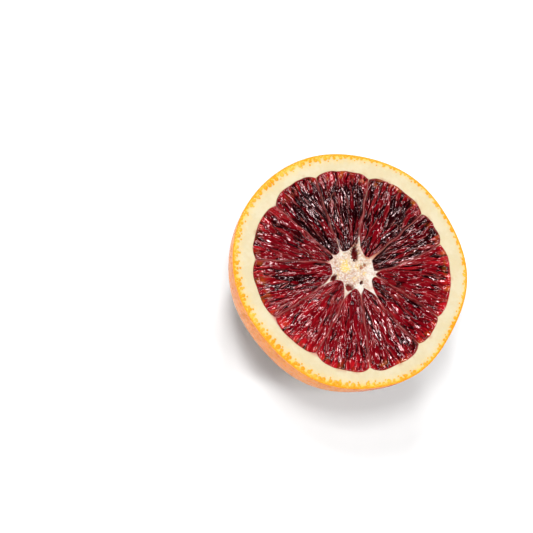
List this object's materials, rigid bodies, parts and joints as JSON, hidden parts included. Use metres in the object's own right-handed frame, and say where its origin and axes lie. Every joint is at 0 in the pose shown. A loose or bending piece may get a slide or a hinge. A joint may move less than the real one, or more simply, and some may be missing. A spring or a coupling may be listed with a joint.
{
  "type": "blood orange half",
  "caption": "Half of a blood orange, cut across the middle, resting on its dome with dark red segments, white core and pith showing.",
  "frame": {"origin": "middle of the flat spot under the dome", "axes": "+Z square to the cut face, out of it; +X and +Y in the cut face"},
  "size_m": [0.0707, 0.0699, 0.032],
  "materials": {
    "peel": "orange rind with fine dimples and a red blush outside, cream pith at the cut",
    "pulp": "wet dark red pulp"
  },
  "bodies": {
    "root": {"peel": "peel", "segment_01": "pulp", "segment_02": "pulp", "segment_03": "pulp", "segment_04": "pulp", "segment_05": "pulp", "segment_06": "pulp", "segment_07": "pulp", "segment_08": "pulp", "segment_09": "pulp", "segment_10": "pulp", "segment_11": "pulp"}
  },
  "joints": []
}
